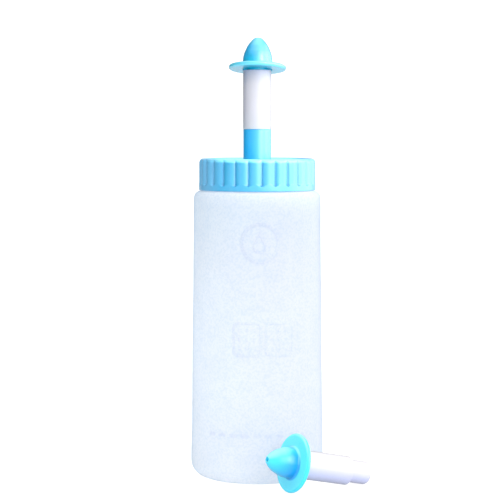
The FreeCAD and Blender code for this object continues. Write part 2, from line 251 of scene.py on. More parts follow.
def drill(ob, holes, bottom, end):
    """Cuts round holes along Z, from bottom to end. holes: (x, y, radius)."""
    bm = bmesh.new()
    for x, y, radius in holes:
        place = Matrix.Translation((x * MM, y * MM, (bottom + end) / 2 * MM))
        bmesh.ops.create_cone(
            bm, cap_ends=True, segments=48, radius1=radius * MM, radius2=radius * MM,
            depth=(end - bottom) * MM, matrix=place)
    mesh = bpy.data.meshes.new("drill")
    bm.to_mesh(mesh)
    bm.free()
    tool = link_object("drill", mesh)
    cut = ob.modifiers.new("holes", "BOOLEAN")
    cut.operation, cut.solver, cut.object = "DIFFERENCE", "EXACT", tool
    bpy.context.view_layer.update()
    evaluated = ob.evaluated_get(bpy.context.evaluated_depsgraph_get())
    drilled = bpy.data.meshes.new_from_object(evaluated)
    ob.modifiers.clear()
    ob.data = drilled
    bpy.data.objects.remove(tool)
    for polygon in ob.data.polygons:
        polygon.use_smooth = True


def finish_mesh(ob, body, node, material):
    normals = ob.modifiers.new("normals", "WEIGHTED_NORMAL")
    normals.weight, normals.keep_sharp = 70, True
    ob.data.materials.clear()
    ob.data.materials.append(material)
    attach(ob, body)
    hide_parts(node)


def thread_height(angle, z, start_z, crest, base, height):
    """Height of a right-hand ridge that climbs one pitch a turn from start_z.

    crest and base are its half-widths at the top and the foot."""
    fade = math.radians(14.0)
    total = np.zeros_like(z)
    for k in range(math.ceil(THREAD_TURNS)):
        turned = angle % TAU + TAU * k
        left = THREAD_TURNS * TAU - turned
        ends = np.minimum(smooth(0, fade, turned), smooth(0, fade, left))
        away = np.abs(z - (start_z + THREAD_PITCH * turned / TAU))
        ridge = height * np.clip((base - away) / (base - crest), 0, 1) * ends
        total = np.maximum(total, np.where(left >= -1e-9, ridge, 0))
    return total


# ------------------------------------------------------------------ raised marks on the bottle
def round_wall(angle):
    """Length round the wall from the middle of the front, at each angle."""
    return ((angle + math.pi / 2 + math.pi) % TAU - math.pi) * MARK_RADIUS


def box_distance(x, y, half_wide, half_high, corner):
    """Signed distance to a box with rounded corners."""
    over_x, over_y = np.abs(x) - half_wide + corner, np.abs(y) - half_high + corner
    outside = np.hypot(np.maximum(over_x, 0), np.maximum(over_y, 0))
    return outside + np.minimum(np.maximum(over_x, over_y), 0) - corner


def ring_and_drop(around, z):
    """Distance to a ring with the outline of a drop in it."""
    x, y = around - 1.5, z - 129.5
    ring = np.abs(np.hypot(x, y) - 10.0) - 0.75
    y = y + 1.6
    radius, height = 3.7, 8.2
    taper = radius * np.clip(1 - y / height, 0, 1) ** 1.15
    point = np.maximum(np.abs(x) - taper, y - height)
    drop = np.where(y < 0, np.hypot(x, y) - radius, point)
    return np.minimum(ring, np.abs(drop + 0.5) - 0.6)


def dotted_panel(around, z, centre):
    """Distance to a rounded frame with three rows of three dots in it."""
    x, y = around - centre, z - 78.5
    border = np.abs(box_distance(x, y, half_wide=7.4, half_high=8.6, corner=2.6)) - 0.55
    dots = [
        np.hypot(x - 4.0 * i, y - 4.8 * j) - 0.8
        for i in (-1, 0, 1) for j in (-1, 0, 1)]
    return np.minimum.reduce([border, *dots])


def marks(around, z):
    """Height of the marks on the front. around is the length round the wall."""
    figures = np.minimum.reduce([
        ring_and_drop(around, z),
        dotted_panel(around, z, centre=-5.4),
        dotted_panel(around, z, centre=12.2)])
    worn = np.sin(around * 2.3 + z * 1.7) * np.sin(around * 1.1 - z * 2.9)
    raised = MARK_HEIGHT * (0.75 + 0.25 * worn) * (1 - smooth(-0.28, 0.34, figures))
    # a faint row of equal dashes near the base
    dashes = np.minimum.reduce([
        box_distance(around - 6.4 * k, z - 27.0, half_wide=2.0, half_high=0.8, corner=0.75)
        for k in range(-4, 5)])
    return np.maximum(raised, 0.16 * (1 - smooth(-0.3, 0.5, dashes)))


# ------------------------------------------------------------------ bottle
def base_hollow(height, drop, shares):
    """The hollow of the base, from radius 5 out to 23.7."""
    return [(5 + (23.7 - 5) * share, height - drop * share ** 2.2) for share in shares]


def bottle_sections():
    """The bottle's profile by section, from the middle underneath, up outside and down inside."""
    heel, shoulder, shoulder_round = 8.0, 34.45, 3.8
    wall, top_wall = 1.2, 1.35  # thicknesses
    heel_x = BOTTLE_RADIUS - heel
    round_x, round_z = shoulder - shoulder_round, NECK_BASE - shoulder_round
    lip, bore = 1.0, 26.1
    base = legs([
        (0, 2.8), (5, 2.8, 3), *base_hollow(2.8, 2.05, np.linspace(0, 1, 13)[1:]),
        (24.3, 0.28), (24.8, 0.06), (25.3, 0.0), (heel_x, 0, 4),
        *arc(heel_x, heel, heel, -90, 0, 22)[1:]])
    side = line((BOTTLE_RADIUS, heel), (shoulder, round_z), 310)
    shoulder_arc = arc(round_x, round_z, shoulder_round, 0, 90, 16)[1:]
    neck = legs([
        (round_x, NECK_BASE), (NECK_RADIUS + lip, NECK_BASE, 3),
        *arc(NECK_RADIUS + lip, NECK_BASE + lip, lip, -90, -180, 6)[1:],
        (NECK_RADIUS, RIM_TOP - 0.6, 66)])[1:]
    inside = legs([
        neck[-1], (27.75, RIM_TOP - 0.2), (27.5, RIM_TOP - 0.03), (27.2, RIM_TOP),
        (26.4, RIM_TOP, 2), (26.2, RIM_TOP - 0.06), (bore, RIM_TOP - 0.25),
        (bore, NECK_BASE + 0.4, 6), (26.25, NECK_BASE - 0.35), (26.7, NECK_BASE - 0.95),
        (27.4, NECK_BASE - 1.28), (28.0, NECK_BASE - top_wall),
        (round_x, NECK_BASE - top_wall, 2),
        *arc(round_x, round_z, shoulder_round - top_wall, 90, 0, 8)[1:],
        (shoulder - 1.3, round_z - 1.5), (BOTTLE_RADIUS - wall, heel, 30),
        *arc(heel_x, heel, heel - wall, 0, -90, 12)[1:],
        (25.4, wall), (24.0, 1.9), *base_hollow(4.0, 1.95, np.linspace(0.97, 0, 9)),
        (0, 4.0, 2)])[1:]
    return {"base": base, "side": side, "shoulder": shoulder_arc, "neck": neck, "inside": inside}


def bottle_angles():
    """Columns: close together over the front, where the marks are, and at the two seams."""
    seam = np.array([0.25, 0.55, 0.9, 1.3, 2.0])
    seam = np.concatenate([-seam, [0.0], seam])
    front = np.arange(-64, 64.01, 0.62)
    rest = np.arange(66, 294.01, 2.4)
    rest = rest[(np.abs(rest - 90) > 2.5) & (np.abs(rest - 270) > 2.5)]
    return np.radians(np.sort(np.concatenate([front, rest, 90 + seam, 270 + seam])) - 90)


def build_bottle():
    sections = bottle_sections()
    section = np.repeat(list(sections), [len(points) for points in sections.values()])[:, None]

    def move(angle, radius, z):
        raised = marks(round_wall(angle), z) * ((z > MARK_LOW) & (z < MARK_TOP))
        # the wall is not perfectly even: very slight waves from moulding
        wave = (0.07 * np.sin(3 * angle + 0.045 * z) * np.sin(0.041 * z + 0.6)
                + 0.05 * np.sin(5 * angle - 0.03 * z + 1.0))
        ends = smooth(10, 30, z) * (1 - smooth(132, 150, z))
        relief = raised + (wave - 0.12) * ends
        # parting line of the mould, down both sides
        for side in (0.0, math.pi):
            away = np.abs((angle - side + math.pi) % TAU - math.pi) * 35
            relief = relief + 0.1 * np.exp(-(away / 0.35) ** 2)
        radius = radius + np.where(section == "side", relief, 0)
        thread = thread_height(angle, z, THREAD_START, crest=0.55, base=1.09, height=1.08)
        radius = radius + np.where(section == "neck", thread, 0)
        # the pinch line across the base
        y = radius * np.sin(angle)
        pinch = 0.3 * np.exp(-(y / 0.55) ** 2) * (1 - smooth(19, 22, radius))
        return radius, z - np.where((section == "base") & (radius < 23), pinch, 0)

    profile = sum(sections.values(), [])
    ob = lathe("bottle_shell", profile, angles=bottle_angles(), move=move, closed=False)
    store_relief(ob.data)
    return ob


def store_relief(mesh):
    """Stores how far the marks raise each point, so that the plastic can look denser there and
    take painted shade round the marks' edges.
    """
    places = np.empty(len(mesh.vertices) * 3)
    mesh.vertices.foreach_get("co", places)
    x, y, z = (places.reshape(-1, 3) / MM).T
    marked = (np.hypot(x, y) > 33.8) & (z > MARK_LOW) & (z < MARK_TOP)
    height = np.clip(marks(round_wall(np.arctan2(y, x)), z) / MARK_HEIGHT, 0, 1)
    relief = mesh.attributes.new("relief", "FLOAT", "POINT")
    relief.data.foreach_set("value", np.where(marked, height, 0).astype(np.float32))


# ------------------------------------------------------------------ cap
def build_cap():
    ribs, rib_columns = 27, 22
    phase = math.radians(-90 + 4.7)
    edge, top_round = 0.3, 2.4
    band_top, rib_top = CAP_LOW + 2.7, CAP_TOP - top_round
    inner, hole = 29.4, 7.62  # radii of the skirt's inside and the socket's hole
    shell = legs([
        (30.2, CAP_LOW), (CAP_RADIUS - edge, CAP_LOW, 3),
        *arc(CAP_RADIUS - edge, CAP_LOW + edge, edge, -90, 0, 5)[1:],
        (CAP_RADIUS, band_top - 0.5, 5), (CAP_RADIUS, band_top + 2.2, 16),
        (CAP_RADIUS, rib_top - 1.4, 14), (CAP_RADIUS - 0.02, rib_top, 7),
        *[(CAP_RADIUS - top_round + 2.38 * math.cos(a), rib_top + top_round * math.sin(a))
          for a in np.linspace(0, math.pi / 2, 14)[1:]],
        (CAP_RADIUS - 3.3, CAP_TOP, 2), (CAP_RADIUS - 3.6, CAP_TOP - 0.05),
        (CAP_RADIUS - 3.85, CAP_TOP - 0.22), (CAP_RADIUS - 4.05, CAP_TOP - 0.5),
        (CAP_RADIUS - 4.3, PANEL_TOP + 0.03), (CAP_RADIUS - 4.6, PANEL_TOP),
        (7.9, PANEL_TOP, 12), (7.7, PANEL_TOP - 0.06), (hole, PANEL_TOP - 0.25),
        (hole, PANEL_LOW, 2), (inner - 0.4, PANEL_LOW, 10),
        (inner - 0.12, PANEL_LOW - 0.12), (inner, PANEL_LOW - 0.4)])[1:]
    bore = line(shell[-1], (inner, CAP_LOW + 0.8), 70)
    profile = shell + bore + [(inner + 0.3, CAP_LOW + 0.4)]
    in_bore = np.zeros((len(profile), 1), bool)
    in_bore[len(shell):-1] = True

    def move(angle, radius, z):
        share = ((angle - phase) / TAU * ribs) % 1.0
        lobe = np.abs(2 * share - 1)  # 1 in a groove, 0 on a crest
        # rounded ribs meeting in narrow grooves
        depth = 0.95 * lobe ** 2.2 + 0.22 * lobe ** 10 + 0.05
        # a groove starts on a rounded foot above the plain band
        # and dies out in the rounded top edge
        foot = band_top - 0.2 + 1.5 * (1 - lobe) ** 1.3
        fade = smooth(foot, foot + 0.75, z) * (1 - smooth(rib_top + 0.8, rib_top + 2.3, z))
        ribbed = ~in_bore & (radius > CAP_RADIUS - 3) & (z > band_top - 0.6)
        thread = thread_height(angle, z, THREAD_START - 1.65, crest=0.45, base=0.97, height=1.2)
        return radius - np.where(ribbed, depth * fade, 0) - np.where(in_bore, thread, 0), z

    angles = np.arange(ribs * rib_columns) * TAU / (ribs * rib_columns) + phase
    ob = lathe("cap_shell", profile, angles=angles, move=move)
    # the air valve's hole, with four small ones round it
    holes = [(0, AIR_VALVE_Y, 1.6)]
    for i in range(4):
        angle = math.radians(45 + 90 * i)
        holes.append((2.95 * math.cos(angle), AIR_VALVE_Y + 2.95 * math.sin(angle), 0.6))
    drill(ob, holes, PANEL_LOW - 1, PANEL_TOP + 1)
    return ob


def build_gasket():
    bottom, upper = low("cap_gasket"), top("cap_gasket")
    inner, outer, edge = 26.25, 29.05, 0.25
    return lathe("gasket_ring", rounded([
        (inner, bottom, edge), (outer, bottom, edge),
        (outer, upper, edge), (inner, upper, edge)], count=5))


# ------------------------------------------------------------------ socket and valve
def build_socket():
    outer, flange, bore, throat = 7.55, 12.5, 6.12, 4.6  # radii
    flange_top = PANEL_LOW - GAP
    flange_low = flange_top - 1.35
    ledge = SOCKET_TOP - 12.9
    return lathe("socket_stub", rounded([
        (5.6, SOCKET_LOW, 0.15), (8.2, SOCKET_LOW, 0.3), (8.2, flange_low, 0.25),
        (flange, flange_low, 0.3), (flange, flange_top, 0.12), (outer, flange_top, 0.06),
        (outer, SOCKET_TOP, 0.3), (6.62, SOCKET_TOP, 0.1), (bore, SOCKET_TOP - 0.5, 0.1),
        (bore, ledge, 0.1), (throat, ledge, 0.2), (throat, STOP_TOP, 0.05),
        (throat, STOP_LOW, 0.05), (throat, SOCKET_LOW + 5.5, 0.1),
        (5.6, SOCKET_LOW + 5.5, 0.1)], count=5), count=128)


def build_socket_stop():
    """The cross-wall in the socket that keeps the ball in, with its four flow holes."""
    radius = 4.72
    profile = legs([(0, STOP_LOW), (radius, STOP_LOW, 5), (radius, STOP_TOP, 2), (0, STOP_TOP, 5)])
    ob = lathe("socket_stop", profile, count=96, closed=False)
    angles = [i * math.pi / 2 for i in range(4)]
    holes = [(2.95 * math.cos(a), 2.95 * math.sin(a), 1.25) for a in angles]
    drill(ob, holes, STOP_LOW - 1, STOP_TOP + 1)
    # where a hole's edge lands on a spoke, the cut leaves two points in one place
    bm = bmesh.new()
    bm.from_mesh(ob.data)
    bmesh.ops.remove_doubles(bm, verts=bm.verts, dist=0.002 * MM)
    bm.to_mesh(ob.data)
    bm.free()
    return ob


def build_seat():
    flange_top = SOCKET_LOW - GAP
    flange_low = flange_top - 1.3
    end, upper = low("valve_seat"), top("valve_seat")
    flange, plug, spigot, bore = 7.7, 5.57, 2.55, 1.7  # radii
    return lathe("seat_plug", rounded([
        (bore, end, 0.1), (2.2, end, 0.1), (spigot, end + 1.2, 0.4), (spigot, flange_low, 0.15),
        (flange, flange_low, 0.3), (flange, flange_top, 0.1), (plug, flange_top, 0.1),
        (plug, upper - 0.4, 0.1), (5.17, upper, 0.1), (4.1, upper, 0.1),
        (bore, upper - 2.4, 0.15)], count=4), count=96)


def build_ball():
    centre = (low("valve_ball") + top("valve_ball")) / 2
    ball_radius = (top("valve_ball") - low("valve_ball")) / 2

    def move(angle, radius, z):
        # a fine line of flash round the middle
        return radius + 0.015 * np.exp(-((z - centre) / 0.07) ** 2), z

    profile = arc(0, centre, ball_radius, -90, 90, 49)
    return lathe("check_ball_body", profile, count=96, move=move, closed=False)


def build_dip_tube():
    bottom, upper = low("dip_tube"), top("dip_tube")
    slant, outer, inner = 7.2, 3.6, 2.6
    straight = 0.9  # share of the length above the slanted end
    joint = upper - straight * (upper - bottom)

    def move(angle, radius, z):
        """Cuts the lower end at a slant, longest towards -X."""
        x = radius * np.cos(angle)
        end = bottom + (x + outer) / (2 * outer) * slant
        share = np.clip((upper - z) / (upper - bottom), 0, 1)
        cut = joint + (end - joint) * (share - straight) / (1 - straight)
        return radius, np.where(share > straight, cut, z)

    profile = legs([(outer, bottom), (outer, upper, 60), (inner, upper), (inner, bottom, 60)])
    return lathe("dip_tube_body", profile, count=72, move=move)


def build_air_valve():
    under, over = PANEL_LOW, PANEL_TOP
    profile = [
        (0, under - 1.25),
        *spline([(1.0, under - 1.25), (3.0, under - 1.05), (4.45, under - 0.62)], 5),
        (4.58, under - 0.5), (4.6, under - 0.3), (4.55, under - 0.12), (4.4, under - 0.08),
        (3.0, under - 0.07), (1.7, under - 0.07), (1.52, under - 0.02), (1.5, under + 0.2),
        (1.5, over - 0.1), (1.52, over + 0.03), (1.75, over + 0.06), (1.92, over + 0.14),
        *spline([(1.95, over + 0.25), (1.72, over + 1.05), (1.3, over + 1.45),
                 (0.8, over + 1.62)], 5),
        (0.3, over + 1.65), (0, over + 1.65)]
    ob = lathe("air_valve_body", profile, count=72, closed=False)
    ob.data.transform(Matrix.Translation((0, AIR_VALVE_Y * MM, 0)))
    return ob


# ------------------------------------------------------------------ nozzle
def build_tube(name):
    end, shoulder, upper = TUBE_LOW, TUBE_SHOULDER, TUBE_TOP
    spigot = 6.05
    return lathe(name, rounded([
        (3.9, end, 0.15), (4.55, end, 0), (5.12, end + 0.11, 0), (5.61, end + 0.44, 0),
        (5.94, end + 0.93, 0), (spigot, end + TUBE_END_ROUND, 0), (spigot, shoulder, 0.12),
        (TUBE_RADIUS, shoulder, 0.3), (TUBE_RADIUS, upper, 0.25), (6.35, upper, 0.1),
        (6.2, upper - 0.3, 0.05), (6.2, shoulder + 3.5, 0.3), (4.7, shoulder + 1.6, 0.3),
        (4.7, end + 2.2, 0.2), (3.9, end + 1.4, 0.2)], count=6, step=2.5))


def build_tip(name):
    """The tip on the tube's axis. Its back face is just above the tube's end,
    with a recess round it."""
    back, face = TIP_BASE, TIP_BASE + BRIM_THICK
    point = face + 15.1
    end = TUBE_TOP - 5.9
    half = BRIM_THICK / 2
    profile = legs([
        (4.4, end), (5.15, end), (5.45, end + 0.2), (5.6, end + 0.65),
        # recess
        (5.6, back + 1.1, 5), (5.64, back + 1.21), (5.75, back + 1.25), (7.9, back + 1.25, 4),
        (8.01, back + 1.21), (8.05, back + 1.1), (8.05, back + 0.12, 2), (8.08, back + 0.03),
        # brim
        (8.18, back), (BRIM_RADIUS - half, back, 8),
        *arc(BRIM_RADIUS - half, back + half, half, -90, 90, 17)[1:],
        (9.4, face, 7), (9.0, face + 0.04), (8.65, face + 0.2), (8.4, face + 0.42),
        (8.22, face + 0.72), (8.1, face + 1.05),
        # dome
        *spline([
            (8.05, face + 1.35), (8.0, point - 12.5), (7.93, point - 11.4), (7.8, point - 10.3),
            (7.55, point - 9.2), (7.22, point - 8.1), (6.76, point - 7.0), (6.29, point - 5.9),
            (5.78, point - 4.8), (5.15, point - 3.73), (4.36, point - 2.64),
            (3.46, point - 1.55), (2.5, point - 0.62), (2.08, point - 0.26),
            (1.65, point - 0.04)], 4),
        # mouth and bore
        (1.42, point), (1.25, point - 0.03), (1.1, point - 0.14), (1.05, point - 0.3),
        (1.05, point - 2.6, 4),
        *spline([(1.05, point - 2.6), (1.9, point - 3.6), (3.3, point - 5.7),
                 (4.5, point - 8.4), (5.0, point - 11.5)], 5)[1:],
        (5.0, end + 9.6), (4.4, end + 8.2), (4.4, end, 5)])[:-1]
    return lathe(name, profile)


def seated(ob):
    """Leans the fitted tip in its tube."""
    place = Matrix.Translation(TIP_SEAT)
    place = place @ Matrix.Rotation(LEAN_RIGHT, 4, "Y") @ Matrix.Rotation(-LEAN_BACK, 4, "X")
    ob.data.transform(place @ Matrix.Translation((0, 0, -TIP_BASE * MM)))
    return ob


def lying(ob):
    """Moves a nozzle piece from the bottle's axis to where the spare nozzle lies."""
    across = Vector((0, 0, 1)).cross(SPARE_AXIS).normalized()
    turn = Matrix((across, SPARE_AXIS.cross(across), SPARE_AXIS)).transposed().to_4x4()
    middle = Matrix.Translation((0, 0, -SPARE_MIDDLE * MM))
    ob.data.transform(Matrix.Translation(SPARE_PLACE) @ turn @ middle)
    return ob


# ------------------------------------------------------------------ shader nodes
class Nodes:
    """Short ways to add shader nodes to a tree. Inputs take a value or another node's output."""

    def __init__(self, tree):
        self.tree = tree
        self.coord = self.add("TexCoord")

    @cached_property
    def normal_source(self):
        return self.add("NewGeometry")

    def feed(self, socket, value):
        if isinstance(value, bpy.types.NodeSocket):
            self.tree.links.new(value, socket)
        else:
            socket.default_value = value

    def add(self, kind, inputs=None, **settings):
        node = self.tree.nodes.new("ShaderNode" + kind)
        for key, value in settings.items():
            setattr(node, key, value)
        for key, value in (inputs or {}).items():
            self.feed(node.inputs[key], value)
        return node

    def noise(self, scale, detail=2.0, rough=0.5, stretch=None, distortion=0.0):
        noise = self.add("TexNoise", {
            "Scale": scale, "Detail": detail, "Roughness": rough, "Distortion": distortion})
        place = self.coord.outputs["Object"]
        if stretch:
            mapping = self.add("Mapping", {"Scale": stretch, "Vector": place})
            place = mapping.outputs["Vector"]
        self.feed(noise.inputs["Vector"], place)
        return noise.outputs["Fac"]

    def span(self, value, across, to=(0.0, 1.0), **settings):
        """Maps the range across onto the range to."""
        return self.add("MapRange", {
            "From Min": across[0], "From Max": across[1], "To Min": to[0], "To Max": to[1],
            "Value": value}, **settings).outputs["Result"]

    def ease(self, value, across, to=(0.0, 1.0)):
        """Like span, but with soft ends."""
        return self.span(value, across, to, interpolation_type="SMOOTHSTEP")

    def mix(self, share, first, second, kind="Color"):
        node = self.add("Mix", data_type={"Color": "RGBA", "Float": "FLOAT"}[kind])
        sockets = {s.identifier: s for s in [*node.inputs, *node.outputs]}
        keys = ("Factor_Float", "A_" + kind, "B_" + kind)
        for key, value in zip(keys, (share, first, second)):
            self.feed(sockets[key], (*value, 1.0) if isinstance(value, tuple) else value)
        return sockets["Result_" + kind]

    def math(self, operation, *values):
        return self.add("Math", dict(enumerate(values)), operation=operation).outputs[0]

    def times(self, first, second):
        return self.math("MULTIPLY", first, second)

    def vector(self, operation, *values):
        node = self.add("VectorMath", dict(enumerate(values)), operation=operation)
        return node.outputs["Value" if operation in ("DOT_PRODUCT", "LENGTH") else "Vector"]

    def along(self, direction):
        """How far each place lies along a direction from the object's origin."""
        return self.vector("DOT_PRODUCT", self.coord.outputs["Object"], direction)

    def turned(self, direction):
        """How far the surface turns towards a direction, 1 for fully."""
        return self.vector("DOT_PRODUCT", self.normal_source.outputs["Normal"], direction)

    def from_axis(self, point, axis):
        """Distances along an axis from a point on it, and out from the axis."""
        offset = self.vector("SUBTRACT", self.coord.outputs["Object"], point)
        along = self.vector("DOT_PRODUCT", offset, axis)
        spread = self.add("CombineXYZ", dict.fromkeys(range(3), along)).outputs[0]
        foot = self.vector("MULTIPLY", spread, axis)
        return along, self.vector("LENGTH", self.vector("SUBTRACT", offset, foot))

    def outline(self, power):
        """0 where the surface faces the eye, rising to 1 at its outline."""
        weight = self.add("LayerWeight", {"Blend": 0.5})
        return self.math("POWER", weight.outputs["Facing"], power)

    def bump(self, height, strength, distance, before=None):
        inputs = {"Strength": strength, "Distance": distance, "Height": height}
        if before is not None:
            inputs["Normal"] = before
        return self.add("Bump", inputs).outputs["Normal"]


class Mat(Nodes):
    """A Principled material whose inputs are fed by procedural nodes."""

    def __init__(self, name):
        self.material = bpy.data.materials.new(name)
        self.material.use_nodes = True
        super().__init__(self.material.node_tree)
        self.surface = self.tree.nodes["Principled BSDF"]

    def set_inputs(self, **values):
        for key, value in values.items():
            self.feed(self.surface.inputs[key.replace("_", " ")], value)

    def let_through(self, colour, normal, share):
        """Mixes in light that comes through the wall."""
        through = self.add("BsdfTranslucent", {"Color": colour, "Normal": normal})
        both = self.add("MixShader", {
            "Fac": share, 1: self.surface.outputs[0], 2: through.outputs[0]})
        self.feed(self.tree.nodes["Material Output"].inputs["Surface"], both.outputs[0])


# ------------------------------------------------------------------ colours
def srgb(*channels):
    """Linear colour from 0-255 display values."""
    shares = [c / 255 for c in channels]
    return tuple(c / 12.92 if c <= 0.04045 else ((c + 0.055) / 1.055) ** 2.4 for c in shares)


def scaled(colour, factor):
    return tuple(channel * factor for channel in colour)


BODY, BODY_LIGHT = (0.928, 0.94, 0.95), (0.933, 0.946, 0.955)
# the right-side colour is painted shade; the end colour whitens the denser raised marks and is
# painted light at the shoulder and the heel
BODY_RIGHT_SHADE, BODY_DENSE_AND_LIT = (0.89, 0.894, 0.925), (0.955, 0.965, 0.978)
# painted light at the upper left of the bottle
BODY_CORNER_LIGHT = (0.965, 0.99, 0.995)
# painted shade along the bottle's outline and round the raised marks' edges
BODY_OUTLINE_SHADE, MARK_EDGE_SHADE = (0.46, 0.60, 0.72), (0.84, 0.855, 0.91)
BLUE, BLUE_LIGHT, BLUE_DARK = (0.008, 0.43, 0.82), (0.16, 0.62, 0.86), (0.014, 0.38, 0.74)
# the groove colour is painted shade in the cap's grooves; the rim colour is a painted highlight on
# the cap's top edge
CAP, CAP_GROOVE_SHADE, CAP_RIM_HIGHLIGHT = (0.038, 0.43, 0.75), (0.010, 0.17, 0.46), (0.22, 0.76, 0.94)
# painted light on the cap's left side, painted shade on its right side
CAP_LEFT_LIGHT, CAP_RIGHT_SHADE = (0.145, 0.485, 0.79), (0.10, 0.40, 0.75)
# the tip's hollow colour is painted light under the brim and round the dome's foot
TIP, TIP_HOLLOW_LIGHT = (0.018, 0.58, 0.93), (0.005, 0.86, 1.0)
# painted light on the tip's upward-facing surfaces and on its brim
TIP_UPPER_LIGHT, TIP_BRIM_LIGHT = (0.20, 0.82, 0.97), (0.16, 0.82, 0.97)
# the spare tip's paler cyan is painted light on the fitted tip's plastic; its root colour is
# painted shade and its upper colour painted light
SPARE, SPARE_ROOT_SHADE, SPARE_UPPER_LIGHT = (0.045, 0.76, 0.97), (0.0, 0.36, 0.86), (0.32, 0.95, 1.0)
# the spare's under colour is painted shade on the spare tube's underside
TUBE, TUBE_SHADE, SPARE_UNDER_SHADE = (0.88, 0.86, 0.90), (0.46, 0.50, 0.72), (0.56, 0.60, 0.84)


# ------------------------------------------------------------------ painted light and shade for moulded plastic
# Each takes the material and its colour so far, and returns the new colour.
def painted_shading_in_hollows(mat, base, reach, share, colour):
    """Painted shade in hollows found within reach; with a paler colour it is painted light
    instead.
    """
    hollow = mat.add("AmbientOcclusion", {"Distance": reach}, samples=6)
    shade = mat.span(hollow.outputs["AO"], across=(0.45, 0.98), to=(1.0, 0.0))
    return mat.mix(mat.times(shade, share), base, colour)


def painted_shade_at_root(mat, base, root, axis, side, colour):
    """Painted shade: a deeper colour round the root of the dome, most of all where the surface
    turns towards the given side.
    """
    beside = dict(across=(0.0098, 0.0084))
    along, off = mat.from_axis(root, axis)
    near = mat.times(mat.ease(along, across=(0.0165, 0.001)), mat.ease(off, **beside))
    under = mat.ease(mat.turned(side), across=(-0.95, 0.25))
    ring = mat.times(mat.ease(along, across=(0.0055, 0.0008)), mat.ease(off, **beside))
    ring = mat.times(ring, 0.7)
    return mat.mix(mat.math("MAXIMUM", ring, mat.times(near, under)), base, colour)


def painted_shading_by_place(mat, base, direction, across, colour):
    """Painted light or shade: another colour further along a direction; across is in millimetres.
    """
    across = [edge * MM for edge in across]
    return mat.mix(mat.ease(mat.along(direction), across), base, colour)


def painted_shading_by_turn(mat, base, direction, across, colour):
    """Painted light or shade: another colour where the surface is turned towards a direction."""
    direction = tuple(Vector(direction).normalized())
    return mat.mix(mat.ease(mat.turned(direction), across), base, colour)


def painted_light_on_brim(mat, base, point, axis, colour):
    """Painted light: the brim is paler than the dome."""
    off = mat.from_axis(point, axis)[1]
    return mat.mix(mat.ease(off, across=(0.0084, 0.0105)), base, colour)


# ------------------------------------------------------------------ materials
def moulded(name, colour, lighter, darker, rough=0.28, grain=0.12, subsurface=0.0, ior=1.5,
            specular=0.5, coat=0.0, outline_shade=0.0, through=0.0, tints=()):
    """Glossy injection-moulded plastic: slight colour drift, fine texture, faint scuffs,
    paler worn edges, painted shade towards the outline. tints: painted light and shade,
    as (function, its settings), laid on in turn."""
    mat = Mat(name)
    drift = mat.span(mat.noise(scale=55, detail=3), across=(0.35, 0.65))
    flow = mat.span(mat.noise(scale=180, stretch=(1, 1, 0.15)), across=(0.4, 0.7))
    base = mat.mix(mat.times(drift, 0.4), colour, darker)
    base = mat.mix(mat.times(flow, 0.12), base, lighter)
    edge = mat.span(mat.normal_source.outputs["Pointiness"], across=(0.52, 0.62))
    worn = mat.times(edge, mat.span(mat.noise(scale=420, detail=4), across=(0.42, 0.6)))
    base = mat.mix(mat.times(worn, 0.25), base, lighter)
    for tint, settings in tints:
        base = tint(mat, base, **settings)
    # painted shade: darker towards the outline
    if outline_shade > 0:
        base = mat.mix(mat.times(mat.outline(power=3.0), outline_shade), base, scaled(darker, 0.35))
    fine = mat.noise(scale=2600, rough=0.6 if False else 0.5) if False else fine_noise(mat)
    scuff = mat.noise(scale=900, detail=4, rough=0.7, stretch=(1, 1, 0.08), distortion=0.4)
    roughness = mat.math(
        "ADD", mat.span(fine, across=(0.3, 0.7), to=(rough - 0.04, rough + 0.05)),
        mat.times(mat.span(scuff, across=(0.6, 0.75)), 0.1))
    normal = mat.bump(mat.noise(scale=350), strength=0.25, distance=0.00005)
    normal = mat.bump(fine, strength=grain, distance=0.00003, before=normal)
    mat.set_inputs(
        Base_Color=base, Roughness=roughness, Normal=normal, IOR=ior,
        Specular_IOR_Level=specular, Subsurface_Weight=subsurface,
        Subsurface_Radius=(0.6, 0.8, 1.0), Subsurface_Scale=0.003,
        Coat_Weight=coat, Coat_Roughness=0.22, Coat_IOR=1.9)
    if through > 0:
        mat.let_through(base, normal, through)
    return mat.material


def fine_noise(mat):
    return mat.noise(scale=2600, detail=2, rough=0.6)


